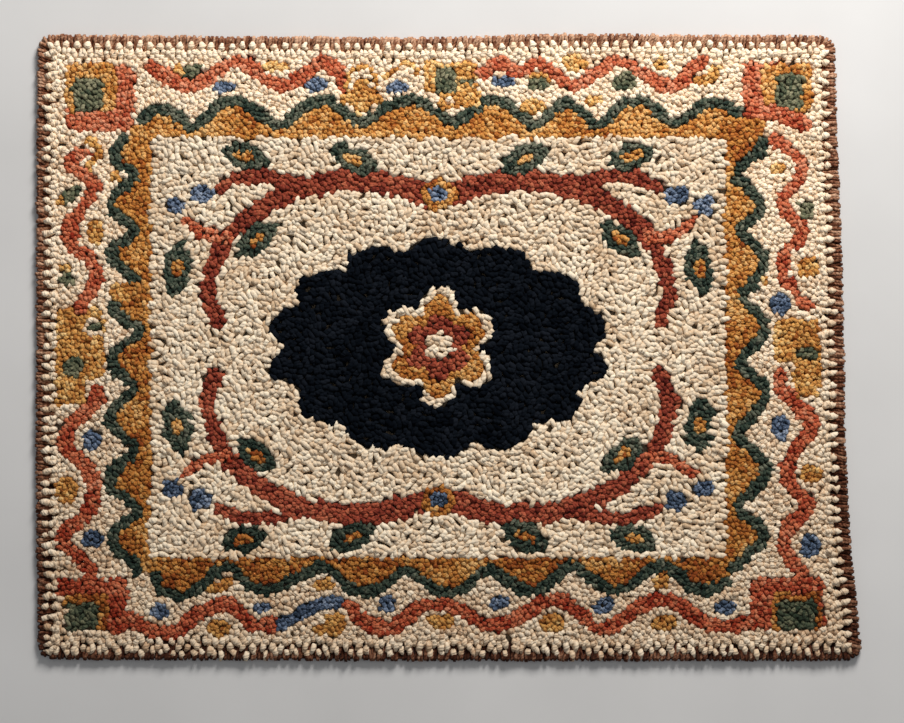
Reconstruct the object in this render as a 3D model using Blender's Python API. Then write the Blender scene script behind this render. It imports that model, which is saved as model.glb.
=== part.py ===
# A hooked rug, laid flat: one panel of loop pile on its foundation cloth, and the yarn
# whipped round its edge. Metres, +Z up, origin under the middle of the rug, on the floor.

import math

import bmesh
import bpy
from mathutils import Matrix, Vector, noise

# Overall size of the rug
RUG_WIDTH = 0.920
RUG_DEPTH = 0.702

# Whipped edge: a rope-thick roll of yarn that wraps the hem
WHIP_WIDTH = 0.014
WHIP_HEIGHT = 0.0100
SEAM_GAP = 0.0003

# Panel: foundation cloth and loops together
PILE_HEIGHT = 0.0096
PILE_RIM_HEIGHT = 0.0066
PILE_SHOULDER_HEIGHT = 0.0088
RIM_WALL_HEIGHT = 0.0040
CORNER_RADIUS = 0.003
SHOULDER_WIDTH = 0.009
PANEL_CELL = 0.0195

# Hand-hooked loops don't end level: low mounds and hollows in the pile and the roll
PILE_WANDER = 0.0009
PILE_WANDER_SPAN = 0.052
ROLL_WANDER = 0.0008
ROLL_WANDER_SPAN = 0.034

# Stations round the whipped edge
SIDE_STEP = 0.0175
CORNER_STEPS = 5

# How far each edge lies outside the true rectangle, in millimetres, at evenly spaced
# stations: left and right from the near corner to the far one, near and far from left to right
EDGE_STRAY_MM = {
    "left": (-3.5, -1.5, 0.0, 0.0, 0.5, 0.5, 0.0),
    "right": (0.0, -10.0, -15.5, -17.0, -19.0, -23.0, -25.5),
    "near": (-1.5, -1.0, -0.5, 0.0, 0.0, 0.0, -0.5),
    "far": (0.0, -1.5, -2.5, -3.0, 0.5, -0.5, -1.0),
}

# Half of the roll's section, from the inner foot over the top to the outer foot,
# as shares of its width and height
ROLL_SECTION = (
    (0.00, 0.00),
    (0.00, 0.42),
    (0.12, 0.80),
    (0.38, 0.99),
    (0.66, 0.94),
    (0.89, 0.70),
    (1.00, 0.38),
    (0.93, 0.00),
)

WOOL_CREAM = (0.62, 0.50, 0.37, 1.0)
WOOL_BROWN = (0.17, 0.085, 0.045, 1.0)

HALF_PANEL_X = RUG_WIDTH / 2 - WHIP_WIDTH - SEAM_GAP
HALF_PANEL_Y = RUG_DEPTH / 2 - WHIP_WIDTH - SEAM_GAP


def clear_scene():
    for obj in list(bpy.data.objects):
        bpy.data.objects.remove(obj)


def wool(name, colour):
    material = bpy.data.materials.new(name)
    material.use_nodes = True
    shader = material.node_tree.nodes["Principled BSDF"]
    shader.inputs["Base Color"].default_value = colour
    shader.inputs["Roughness"].default_value = 0.9
    shader.inputs["Metallic"].default_value = 0.0
    return material


def stray(side, share):
    """How far the edge lies outside the true rectangle, in metres, at a share of its length."""
    stations = EDGE_STRAY_MM[side]
    last = len(stations) - 1
    place = min(max(share, 0.0), 1.0) * last
    before = min(int(place), last - 1)
    part = place - before
    start, end = stations[before], stations[before + 1]
    slope_in = (end - stations[max(before - 1, 0)]) / 2
    slope_out = (stations[min(before + 2, last)] - start) / 2
    ease = part * part * (3 - 2 * part)
    bend = part * (1 - part) * (slope_in * (1 - part) - slope_out * part)
    return (start * (1 - ease) + end * ease + bend) / 1000


def as_hooked(x, y):
    """A point of the true rectangle, moved to where the uneven rug has it."""
    along_x = (x + HALF_PANEL_X) / (2 * HALF_PANEL_X)
    along_y = (y + HALF_PANEL_Y) / (2 * HALF_PANEL_Y)
    shift_x = stray("right", along_y) * along_x - stray("left", along_y) * (1 - along_x)
    shift_y = stray("far", along_x) * along_y - stray("near", along_x) * (1 - along_y)
    return Vector((x + shift_x, y + shift_y))


def mound(point, span, height):
    return height * noise.noise(Vector((point[0] / span, point[1] / span, 0.0)))


def grid_lines(half):
    """Lines across the panel: two close ones at each rim for its shoulder, then even cells."""
    inner = half - SHOULDER_WIDTH
    cells = round(2 * inner / PANEL_CELL)
    middle = [inner * (2 * i / cells - 1) for i in range(cells + 1)]
    return [-half, -half + CORNER_RADIUS, *middle, half - CORNER_RADIUS, half]


def pile_top(point, rows_from_rim):
    """Height of the pile: it rolls down over the last rows of loops at the rim."""
    if rows_from_rim == 0:
        return PILE_RIM_HEIGHT
    if rows_from_rim == 1:
        return PILE_SHOULDER_HEIGHT
    return PILE_HEIGHT + mound(point, PILE_WANDER_SPAN, PILE_WANDER)


def make_hooked_panel():
    """The foundation cloth and its loops, which no one can part: one flat solid."""
    lines_x = grid_lines(HALF_PANEL_X)
    lines_y = grid_lines(HALF_PANEL_Y)
    last_x, last_y = len(lines_x) - 1, len(lines_y) - 1
    tuck = CORNER_RADIUS * (1 - math.sqrt(0.5))
    mesh = bmesh.new()
    rows = []
    for j, y in enumerate(lines_y):
        row = []
        for i, x in enumerate(lines_x):
            in_corner = i in (0, last_x) and j in (0, last_y)
            pull = tuck if in_corner else 0.0
            point = as_hooked(x - math.copysign(pull, x), y - math.copysign(pull, y))
            rows_from_rim = min(i, j, last_x - i, last_y - j)
            row.append(mesh.verts.new((*point, pile_top(point, rows_from_rim))))
        rows.append(row)
    for low, high in zip(rows, rows[1:]):
        for i in range(last_x):
            mesh.faces.new((low[i], low[i + 1], high[i + 1], high[i]))

    for height in (RIM_WALL_HEIGHT, 0.0):
        rim = [edge for edge in mesh.edges if edge.is_boundary]
        grown = bmesh.ops.extrude_edge_only(mesh, edges=rim)["geom"]
        for vert in grown:
            if isinstance(vert, bmesh.types.BMVert):
                vert.co.z = height
    bmesh.ops.contextual_create(mesh, geom=[edge for edge in mesh.edges if edge.is_boundary])
    return add_object("hooked_panel", mesh, wool("cream_wool", WOOL_CREAM))


def panel_rim_path():
    """The panel's outline as a closed list of points, anticlockwise, with round corners."""
    half_x, half_y, radius = HALF_PANEL_X, HALF_PANEL_Y, CORNER_RADIUS
    corners = (
        (half_x - radius, -half_y + radius, -90),
        (half_x - radius, half_y - radius, 0),
        (-half_x + radius, half_y - radius, 90),
        (-half_x + radius, -half_y + radius, 180),
    )
    path = []
    for number, (centre_x, centre_y, start) in enumerate(corners):
        for step in range(CORNER_STEPS + 1):
            turn = math.radians(start + 90 * step / CORNER_STEPS)
            path.append((centre_x + radius * math.cos(turn), centre_y + radius * math.sin(turn)))
        next_x, next_y, next_start = corners[(number + 1) % len(corners)]
        turn = math.radians(next_start)
        ahead = Vector((next_x + radius * math.cos(turn), next_y + radius * math.sin(turn)))
        here = Vector(path[-1])
        steps = round((ahead - here).length / SIDE_STEP)
        path += [tuple(here.lerp(ahead, step / steps)) for step in range(1, steps)]
    return path


def rim_stations():
    """Each station's place on the uneven rim, with the level direction out of the rug."""
    path = panel_rim_path()
    reach = 1e-4
    stations = []
    for x, y in path:
        core_x = max(-HALF_PANEL_X + CORNER_RADIUS, min(HALF_PANEL_X - CORNER_RADIUS, x))
        core_y = max(-HALF_PANEL_Y + CORNER_RADIUS, min(HALF_PANEL_Y - CORNER_RADIUS, y))
        out = Vector((x - core_x, y - core_y)).normalized()
        along = Vector((-out.y, out.x))
        behind = as_hooked(*(Vector((x, y)) - along * reach))
        ahead = as_hooked(*(Vector((x, y)) + along * reach))
        level = (ahead - behind).normalized()
        stations.append((as_hooked(x, y), Vector((level.y, -level.x))))
    return stations


def make_whipped_edge():
    """The roll of yarn that wraps the hem all round, flat where it meets the floor."""
    mesh = bmesh.new()
    rings = []
    for place, out in rim_stations():
        swell = mound(place, ROLL_WANDER_SPAN, ROLL_WANDER)
        ring = []
        for across, up in ROLL_SECTION:
            reach = SEAM_GAP + across * (WHIP_WIDTH + swell)
            point = place + out * reach
            ring.append(mesh.verts.new((*point, up * (WHIP_HEIGHT + swell))))
        rings.append(ring)
    count = len(ROLL_SECTION)
    for ring, ahead in zip(rings, rings[1:] + rings[:1]):
        for i in range(count):
            k = (i + 1) % count
            mesh.faces.new((ring[i], ring[k], ahead[k], ahead[i]))
    return add_object("whipped_edge", mesh, wool("brown_wool", WOOL_BROWN))


def add_object(name, mesh, material):
    bmesh.ops.recalc_face_normals(mesh, faces=mesh.faces)
    data = bpy.data.meshes.new(name)
    mesh.to_mesh(data)
    mesh.free()
    data.materials.append(material)
    data.shade_smooth()
    obj = bpy.data.objects.new(name, data)
    bpy.context.scene.collection.objects.link(obj)
    return obj


def centre_over_origin(objects):
    """Slides the rug so that the origin lies under the middle of its overall box."""
    points = [vert.co for obj in objects for vert in obj.data.vertices]
    middle_x = (min(point.x for point in points) + max(point.x for point in points)) / 2
    middle_y = (min(point.y for point in points) + max(point.y for point in points)) / 2
    slide = Matrix.Translation((-middle_x, -middle_y, 0.0))
    for obj in objects:
        obj.data.transform(slide)


def main():
    clear_scene()
    centre_over_origin([make_hooked_panel(), make_whipped_edge()])


main()
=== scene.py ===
# %% [markdown]
# # A hooked rug, loop by loop
# The real rug is a piece of linen with wool yarn pulled up through it in short loops, one at a
# time, by a hand hook. Its edge is folded under and whipped in thick brown yarn. The solids we
# start from are a flat slab and a plain roll. This script puts the yarn on them: about seventeen
# thousand loops, laid the way a maker lays them, in rows that follow each motif's outline.

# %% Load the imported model
import math

import bpy
import numpy as np
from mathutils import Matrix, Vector


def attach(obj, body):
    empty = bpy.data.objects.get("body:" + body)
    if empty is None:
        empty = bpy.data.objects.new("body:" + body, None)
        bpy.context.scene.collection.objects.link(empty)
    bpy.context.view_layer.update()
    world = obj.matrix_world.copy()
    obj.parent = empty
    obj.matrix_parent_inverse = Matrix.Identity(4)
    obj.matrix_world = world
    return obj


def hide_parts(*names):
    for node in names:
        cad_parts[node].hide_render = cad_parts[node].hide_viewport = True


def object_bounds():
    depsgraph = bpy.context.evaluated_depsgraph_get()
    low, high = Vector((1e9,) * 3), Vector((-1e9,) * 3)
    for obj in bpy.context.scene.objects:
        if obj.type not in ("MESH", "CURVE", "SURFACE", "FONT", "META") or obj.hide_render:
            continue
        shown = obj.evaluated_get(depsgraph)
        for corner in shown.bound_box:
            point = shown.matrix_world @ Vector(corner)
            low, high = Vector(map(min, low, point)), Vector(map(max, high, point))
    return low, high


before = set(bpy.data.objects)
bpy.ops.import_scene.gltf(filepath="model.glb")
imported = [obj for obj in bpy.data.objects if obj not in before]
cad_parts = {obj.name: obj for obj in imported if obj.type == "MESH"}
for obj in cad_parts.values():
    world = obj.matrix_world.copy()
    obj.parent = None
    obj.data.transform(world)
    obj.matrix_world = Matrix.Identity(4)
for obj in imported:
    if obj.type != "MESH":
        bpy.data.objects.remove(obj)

cad_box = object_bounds()
print("solids:", sorted(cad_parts), "box", [tuple(round(c, 4) for c in corner) for corner in cad_box])

# %% [markdown]
# ## Where the rug ends
# The cloth's outline isn't a true rectangle, so we don't draw one here. The slab's lowest points
# lie on that outline. Seen from the middle of the rug each of them has its own compass bearing,
# so sorting by bearing puts them in order round the rim.

# %% The rim of the cloth, as an ordered line of points
MM = 0.001
ON_FLOOR = 0.1 * MM


def rim_of(node):
    """The outline of a node's flat underside, anticlockwise, in millimetres."""
    low = {tuple(round(c / MM, 3) for c in v.co[:2]) for v in node.data.vertices if v.co.z < ON_FLOOR}
    return np.array(sorted(low, key=lambda p: math.atan2(p[1], p[0])))


rim = rim_of(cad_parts["hooked_panel"])
print("rim points:", len(rim), "width and depth in mm:", np.ptp(rim, axis=0).round(1))

# %% [markdown]
# Stitches and teeth sit at even steps along the edge, so we need a function that walks it. At a
# corner the walker stands still and turns, and its outstretched hand draws an arc. Steps are
# counted at the hand, a given distance out from the rim, so stitches fan evenly round corners.

# %% Even steps round the rim


def along_rim(pitch, hand=0.0, start=0.0):
    """Places on the rim, ways along it and ways out of the rug, at steps of about the pitch."""
    ahead = np.roll(rim, -1, axis=0) - rim
    bearing = np.unwrap(np.arctan2(ahead[:, 1], ahead[:, 0]))
    bearing = np.append(bearing, bearing[0] + 2 * np.pi)
    ends = np.vstack((rim, rim[:1]))
    stands = np.repeat(ends, 2, axis=0)[1:]
    faces = np.repeat(bearing, 2)[:-1]
    walked = np.linalg.norm(np.diff(stands, axis=0), axis=1)
    turned = hand * np.clip(np.diff(faces), 0, None)
    run = np.concatenate(([0.0], np.cumsum(walked + turned + 1e-6)))
    steps = round(run[-1] / pitch)
    at = (np.arange(steps) + start) * run[-1] / steps
    place = np.stack([np.interp(at, run, stands[:, axis]) for axis in (0, 1)], axis=1)
    face = np.interp(at, run, faces)
    return place, np.stack((np.cos(face), np.sin(face)), 1), np.stack((np.sin(face), -np.cos(face)), 1)


for hand in (0.0, 14.0):
    print("steps of a centimetre,", hand, "mm out from the rim:", len(along_rim(10.0, hand)[0]))

# %% [markdown]
# ## The chart
# Before hooking, a maker draws the design on the linen. Our linen is a grid of one-millimetre
# cells, and each cell holds the number of its yarn. All the drawing is done with formulas and
# with short tables of places measured in millimetres from the middle of the rug.

# %% An empty chart the size of the rug
YARNS = ("border cream", "field cream", "bar cream", "black", "gold", "yellow",
         "green", "slate", "rust", "blue", "brick")
OUTSIDE = -1
HALF_CHART = (470, 360)
cell_x = np.arange(-HALF_CHART[0], HALF_CHART[0]) + 0.5
cell_y = np.arange(-HALF_CHART[1], HALF_CHART[1]) + 0.5
X, Y = np.meshgrid(cell_x, cell_y)


def inside(outline):
    """Chart cells inside a closed line of points: each row is filled between its crossings."""
    start, end = outline, np.roll(outline, -1, axis=0)
    mask = np.zeros(X.shape, bool)
    for row, y in enumerate(cell_y):
        crosses = (start[:, 1] <= y) != (end[:, 1] <= y)
        a, b = start[crosses], end[crosses]
        at = np.sort(a[:, 0] + (y - a[:, 1]) * (b[:, 0] - a[:, 0]) / (b[:, 1] - a[:, 1]))
        for left, right in zip(at[::2], at[1::2]):
            mask[row, (cell_x > left) & (cell_x < right)] = True
    return mask


on_cloth = inside(rim)
chart = np.where(on_cloth, YARNS.index("border cream"), OUTSIDE)
print("cloth area:", round(on_cloth.sum() / 1e6, 3), "square metres")

# %% [markdown]
# Three ways of drawing cover the whole design: a patch with round or square ends, a brush stroke
# along a line, and a filled outline. A stroke is stamped as a row of discs, so that its width
# can change along its length, as a branch tapers.

# %% Drawing tools
BLOCK_POWER = 7.0


def patch(yarn, x, y, width, height, turn=0.0, power=2.0):
    """An oval. A power above 2 squares it off, towards a block with round corners."""
    cos, sin = math.cos(math.radians(turn)), math.sin(math.radians(turn))
    across = np.abs((X - x) * cos + (Y - y) * sin) / (width / 2)
    up = np.abs((Y - y) * cos - (X - x) * sin) / (height / 2)
    chart[on_cloth & (across ** power + up ** power < 1)] = YARNS.index(yarn)


def block(yarn, left, right, bottom, top):
    """A patch with nearly square corners, from the places of its four sides."""
    patch(yarn, (left + right) / 2, (bottom + top) / 2, right - left, top - bottom, power=BLOCK_POWER)


def stroke(yarn, line, width, end_width=None):
    """A band along a line of points, with round ends."""
    line = np.asarray(line, float)
    widths = np.linspace(width, width if end_width is None else end_width, len(line))
    for (x, y), radius in zip(line, widths / 2):
        col = slice(int(x + HALF_CHART[0] - radius - 1), int(x + HALF_CHART[0] + radius + 2))
        row = slice(int(y + HALF_CHART[1] - radius - 1), int(y + HALF_CHART[1] + radius + 2))
        disc = (X[row, col] - x) ** 2 + (Y[row, col] - y) ** 2 < radius ** 2
        chart[row, col][disc & on_cloth[row, col]] = YARNS.index(yarn)


def flowing(points, step=1.5):
    """A smooth line through a few points, with its bends spread evenly (a Catmull-Rom curve)."""
    p = np.asarray(points, float)
    p = np.vstack((2 * p[0] - p[1], p, 2 * p[-1] - p[-2]))
    line = []
    for a, b, c, d in zip(p, p[1:], p[2:], p[3:]):
        count = max(int(np.linalg.norm(c - b) / step), 1)
        t = (np.arange(count) / count)[:, None]
        line.append(0.5 * (2 * b + (c - a) * t + (2 * a - 5 * b + 4 * c - d) * t ** 2
                           + (3 * b - a - 3 * c + d) * t ** 3))
    return np.vstack(line + [p[-2:-1]])


print("drawing tools ready on a chart of", chart.shape[1], "by", chart.shape[0], "cells")

# %% [markdown]
# ## The gold frame and its green wave
# Round the plain field runs a gold band with a straight inner side and a wavy outer side, and a
# green line rides on the wave. The maker didn't space the waves with a ruler, so we keep a table
# of crests and dips. Between two of them a cosine rises or falls, and a little extra height on
# the slopes makes the crests broad and round and the dips narrow.
# Joined end to end, the four waves close into one outline that can be filled with gold.

# %% Field, gold frame and green wave
FIELD_LEFT, FIELD_RIGHT, FIELD_BOTTOM, FIELD_TOP = -332, 311, -233, 237
WAVE_WIDTH = 11.6
CREST_ROUNDING = 0.4

# Crests and dips: (place along the side, distance out from the field)
WAVES = {
    "top": ((-343, 24), (-316, 31), (-287, 12), (-241, 41), (-191, 15), (-140, 41), (-98, 18), (-42, 42),
            (8, 18), (52, 43), (98, 15), (133, 38), (167, 14), (209, 42), (255, 17), (300, 39), (328, 27)),
    "right": ((233, 42), (198, 13), (156, 39), (133, 16), (99, 43), (58, 21), (22, 43),
              (-15, 16), (-48, 43), (-96, 15), (-136, 43), (-176, 13), (-209, 41), (-232, 22), (-243, 7)),
    "bottom": ((312, 28), (286, 36), (239, 7), (184, 35), (141, 9), (91, 36), (48, 13), (0, 39),
               (-44, 16), (-94, 38), (-139, 10), (-208, 36), (-246, 10), (-298, 42), (-317, 38), (-326, 20)),
    "left": ((-246, 14), (-210, 42), (-181, 13), (-148, 44), (-112, 19), (-75, 45), (-44, 20), (-11, 42),
             (22, 12), (45, 42), (75, 18), (107, 44), (133, 19), (162, 44), (193, 20), (218, 40), (238, 31)),
}


def side_place(side, along, out):
    """Turns a place along a side and a distance out from the field into a place on the rug."""
    if side == "top":
        return np.stack((along, FIELD_TOP + out), axis=1)
    if side == "bottom":
        return np.stack((along, FIELD_BOTTOM - out), axis=1)
    if side == "left":
        return np.stack((FIELD_LEFT - out, along), axis=1)
    return np.stack((FIELD_RIGHT + out, along), axis=1)


def wave(side, steps=40):
    """The wavy outer side of the gold frame along one side of the field."""
    stations = np.array(WAVES[side], float)
    t = np.linspace(0, len(stations) - 1, steps * (len(stations) - 1) + 1)
    before = np.minimum(t.astype(int), len(stations) - 2)
    part = t - before
    share = (1 - np.cos(np.pi * part)) / 2
    along = stations[before, 0] * (1 - part) + stations[before + 1, 0] * part
    start, end = stations[before, 1], stations[before + 1, 1]
    out = start + (end - start) * share + np.abs(end - start) * CREST_ROUNDING * share * (1 - share)
    return side_place(side, along, out)


waves = [wave(side) for side in ("top", "right", "bottom", "left")]
chart[inside(np.vstack(waves)[::-1])] = YARNS.index("gold")
for line in waves:
    stroke("slate", line, WAVE_WIDTH)
field = (X > FIELD_LEFT) & (X < FIELD_RIGHT) & (Y > FIELD_BOTTOM) & (Y < FIELD_TOP)
chart[field] = YARNS.index("field cream")
print("gold cells:", int((chart == YARNS.index("gold")).sum()), "field cells:", int(field.sum()))

# %% [markdown]
# Along the field's two short sides the maker laid one column of long loops side by side, like
# the rungs of a ladder. They get a strip of their own in the chart.

# %% Ladder of long loops at the field's short sides
BAR_LENGTH = 13.0

side_gap = np.minimum(X - FIELD_LEFT, FIELD_RIGHT - X)
chart[field & (side_gap < BAR_LENGTH)] = YARNS.index("bar cream")
print("ladder cells:", int((chart == YARNS.index("bar cream")).sum()))

# %% [markdown]
# ## Corner squares, vines and dots
# Each corner has a green patch on gold on rust, and no two are alike. A rust vine wanders from
# corner to corner, with oval dots in its bends, and breaks off at a gold block on three sides.
# The tables list what is drawn first to last, so a later row lies over an earlier one.

# %% Corner squares and blocks

# Yarn, left, right, bottom, top
BLOCKS = (
    ("gold", 311, 355, 236, 258),
    ("rust", -428, -351, 244, 318),
    ("gold", -428, -371, 266, 321),
    ("green", -418, -386, 266, 304),
    ("rust", 331, 404, 258, 321),
    ("gold", 352, 407, 266, 320),
    ("green", 366, 398, 270, 308),
    ("rust", -437, -357, -276, -255),
    ("rust", -386, -356, -315, -255),
    ("gold", -430, -378, -290, -273),
    ("gold", -392, -378, -315, -273),
    ("green", -426, -388, -314, -283),
    ("rust", 337, 420, -313, -254),
    ("gold", 361, 417, -313, -271),
    ("green", 367, 411, -312, -280),
    ("yellow", -27, 34, 288, 321),
    ("yellow", -10, 36, 270, 290),
    ("green", -15, 10, 286, 315),
    ("green", 11, 31, 297, 302),
    ("yellow", -437, -384, -34, 46),
    ("yellow", -436, -404, -62, -30),
    ("yellow", 387, 416, -54, 34),
    ("yellow", 363, 392, -14, 33),
)
for row in BLOCKS:
    block(*row)
print("blocks drawn:", len(BLOCKS))

# %% Vines

# Yarn, width, then the points that the vine passes
VINES = (
    ("rust", 15.5, ((-332, 316), (-312, 302), (-293, 295), (-268, 303), (-241, 321), (-217, 313),
                    (-190, 296), (-162, 306), (-141, 322), (-125, 312), (-118, 296))),
    ("rust", 14, ((38, 308), (60, 321), (79, 309), (99, 320), (118, 309), (140, 295), (165, 308),
                  (190, 322), (219, 308), (246, 294), (262, 298), (270, 313), (285, 321))),
    ("yellow", 11, ((281, 301), (294, 303), (299, 313))),
    ("yellow", 7, ((-68, 305), (-59, 314), (-49, 320), (-38, 316), (-33, 309))),
    ("yellow", 9, ((-399, 233), (-391, 219), (-402, 206))),
    ("rust", 15.5, ((-409, 219), (-422, 206), (-402, 192), (-396, 182), (-405, 164), (-418, 146),
                    (-424, 131), (-419, 115), (-404, 105), (-393, 91), (-393, 78), (-405, 57),
                    (-410, 45))),
    ("rust", 16.5, ((-391, -46), (-393, -59), (-419, -84), (-426, -98), (-425, -112), (-408, -126),
                    (-397, -142), (-396, -168), (-408, -189), (-426, -202), (-428, -214),
                    (-406, -236), (-396, -252))),
    ("rust", 18, ((340, 268), (372, 263), (398, 253))),
    ("rust", 14, ((365, 236), (386, 220), (397, 204), (391, 188), (377, 170), (379, 153), (395, 137),
                  (391, 121), (379, 108), (375, 86), (384, 70), (400, 49))),
    ("rust", 15.5, ((372, -30), (372, -42), (388, -62), (404, -76), (404, -91), (389, -111),
                    (380, -127), (380, -146), (392, -161), (401, -172), (393, -187), (379, -200),
                    (374, -218), (383, -235), (395, -252))),
    ("rust", 15.5, ((-354, -299), (-330, -313), (-315, -317), (-300, -313), (-275, -293),
                    (-242, -284), (-231, -295), (-214, -306), (-190, -307))),
    ("blue", 15, ((-183, -306), (-168, -297), (-153, -290), (-137, -283), (-122, -282))),
    ("rust", 15.5, ((-110, -285), (-100, -299), (-82, -308), (-62, -311), (-46, -299), (-27, -286),
                    (-4, -284), (13, -291), (31, -302), (46, -307), (71, -303), (91, -292),
                    (108, -281), (124, -278), (138, -286), (154, -301), (173, -311), (192, -303),
                    (210, -290), (229, -281), (243, -280), (262, -288), (281, -302), (303, -308),
                    (341, -305))),
)
for yarn, width, points in VINES:
    stroke(yarn, flowing(points), width)
print("vine strokes:", len(VINES))

# %% Dots, rings and the rosette

# Yarn, x, y, width, height, turn
DOTS = (
    ("green", -287, 311, 24, 14), ("yellow", -302, 314, 12, 11), ("blue", -249, 294, 24, 15),
    ("yellow", -193, 317, 24, 11), ("blue", -146, 296, 26, 19), ("blue", -56, 293, 25, 15),
    ("blue", 62, 299, 26, 15), ("yellow", 101, 303, 23, 13), ("green", 102, 297, 24, 13),
    ("yellow", 96, 272, 30, 18), ("yellow", 143, 320, 27, 20), ("yellow", 163, 280, 22, 13),
    ("green", 199, 300, 25, 17), ("yellow", 240, 319, 17, 14), ("yellow", -96, 298, 38, 40),
    ("border cream", -96, 299, 27, 30), ("yellow", -97, 285, 24, 38), ("yellow", -97, 281, 47, 19),
    ("green", -423, 172, 25, 14, 40), ("yellow", -433, 166, 10, 10), ("green", -444, 159, 9, 8),
    ("yellow", -394, 132, 20, 27), ("yellow", -371, 194, 14, 13), ("yellow", -427, 91, 15, 9),
    ("green", -425, 79, 19, 16), ("yellow", -360, 64, 36, 22), ("blue", -397, -103, 21, 26),
    ("yellow", -425, -157, 27, 31), ("blue", -396, -212, 25, 19), ("green", -419, -21, 25, 21),
    ("border cream", -395, 25, 21, 21), ("green", -394, 25, 12, 9), ("yellow", 369, 202, 17, 15),
    ("green", 402, 157, 16, 24, 25), ("yellow", 404, 92, 26, 25), ("yellow", 355, 76, 9, 12),
    ("border cream", 372, 50, 36, 34), ("blue", 372, 50, 23, 22), ("green", 403, -5, 26, 15),
    ("blue", 372, -88, 21, 27), ("yellow", 405, -139, 26, 23), ("blue", 404, -219, 25, 26),
    ("blue", -321, -293, 22, 17), ("yellow", -252, -263, 30, 16, 20), ("yellow", -255, -311, 26, 20),
    ("blue", -206, -288, 20, 13), ("yellow", -137, -263, 25, 16), ("yellow", -125, -306, 24, 29),
    ("yellow", -142, -311, 17, 10), ("blue", -66, -284, 17, 20), ("yellow", -7, -303, 30, 18),
    ("blue", 57, -283, 22, 15), ("yellow", 117, -305, 27, 21), ("blue", 175, -285, 22, 18),
    ("yellow", 239, -257, 20, 22), ("yellow", 242, -305, 28, 18), ("blue", 309, -288, 25, 17),
    ("border cream", 3, 278, 15, 6), ("rust", -421, 130, 20, 24),
)
for row in DOTS:
    patch(*row)
print("dots and rings:", len(DOTS))

# %% [markdown]
# ## The middle of the rug
# The field carries an old stock pattern of folk rugs, of the maker's own colours: a dark
# scalloped medallion with a flower in it, and a leafy scroll in each corner. One corner is
# written down as a table, and the other three are its mirror images. A scalloped edge is a
# circle whose radius swells and dips a little, and it dips sharply where two scallops meet.

# %% Medallion and flower
MIDDLE = (-10, 2)
MEDALLION = {"half_width": 192, "half_height": 122, "scallops": 14, "depth": 0.11}
FLOWER = {"radius": 54, "petals": 6, "depth": 0.30}
# Yarn and size of each layer of the flower, the lowest one first
FLOWER_LAYERS = (("field cream", 1.24), ("gold", 1.04), ("brick", 0.70), ("field cream", 0.34))

from_middle_x, from_middle_y = X - MIDDLE[0], Y - MIDDLE[1]


def scalloped(half_width, half_height, scallops, depth, turn=0.0):
    """Cells inside an oval whose edge is a chain of round scallops."""
    bearing = np.arctan2(from_middle_y / half_height, from_middle_x / half_width)
    reach = np.hypot(from_middle_x / half_width, from_middle_y / half_height)
    swell = np.abs(np.sin(scallops * bearing / 2 + turn))
    return reach < 1 - depth + depth * swell


def draw_flower(radius, petals, depth):
    """Petals in gold and rust round a cream heart, with a line of cream about them."""
    for yarn, share in FLOWER_LAYERS:
        size = radius * share
        chart[scalloped(size, size, petals, depth)] = YARNS.index(yarn)


chart[scalloped(**MEDALLION)] = YARNS.index("black")
draw_flower(**FLOWER)
print("medallion cells:", int((chart == YARNS.index("black")).sum()))

# %% Scrolls, leaves and berries in the four corners

# A branch and its twigs: yarn, width at the root, width at the tip, points from the middle
BRANCHES = (
    ("brick", 26, 17, ((10, 170), (70, 186), (135, 182), (195, 158), (238, 118), (258, 68), (248, 30))),
    ("brick", 17, 13, ((150, 180), (185, 190), (218, 190), (246, 178))),
    ("rust", 14, 11, ((236, 122), (262, 126), (284, 142))),
)
# Leaf: x, y, length, width, turn
LEAVES = ((96, 211, 58, 31, 24), (217, 214, 54, 30, 14), (292, 88, 34, 62, 8), (204, 121, 56, 30, -38))
LEAF_POWER = 1.6
LEAF_EYE = (0.42, 0.34)
# Berry: x, y, width, height
BERRIES = ((266, 170, 25, 23), (296, 158, 22, 21))
# Each bud lies on the middle line: how far up or down, and its yarns with their width and height
BUD_PLACES = (171, -171)
BUD = (("gold", 40, 34), ("blue", 20, 17))


def mirrored():
    """The four ways of mirroring one corner's design about the middle."""
    return [(flip_x, flip_y) for flip_x in (1, -1) for flip_y in (1, -1)]


for flip_x, flip_y in mirrored():
    place = np.array((flip_x, flip_y))
    for yarn, root, tip, points in BRANCHES:
        stroke(yarn, flowing(np.array(points) * place + MIDDLE), root, tip)
    for x, y, length, width, turn in LEAVES:
        at = np.array((x, y)) * place + MIDDLE
        leaf_turn = turn * flip_x * flip_y
        patch("slate", *at, length, width, leaf_turn, power=LEAF_POWER)
        patch("gold", *at, length * LEAF_EYE[0], width * LEAF_EYE[1], leaf_turn)
    for x, y, width, height in BERRIES:
        patch("blue", *(np.array((x, y)) * place + MIDDLE), width, height)
for y in BUD_PLACES:
    for yarn, width, height in BUD:
        patch(yarn, MIDDLE[0], y + MIDDLE[1], width, height)
print("corner scrolls:", len(mirrored()), "with", len(LEAVES), "leaves each")

# %% [markdown]
# ## A hand-drawn wobble
# Formulas draw too cleanly. Adding up a few long ripples in mixed directions gives a smooth,
# repeatable unevenness. We look up each cell's yarn a millimetre or two away, as the ripples
# say, and every outline in the chart wanders a little. The same look-up moves the whole design
# nearer by a hair, to where it lies on the cloth.

# %% Ripples
WAVE_LENGTHS = (0.8, 2.0)
RIPPLE_PEAK = 1.6


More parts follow.
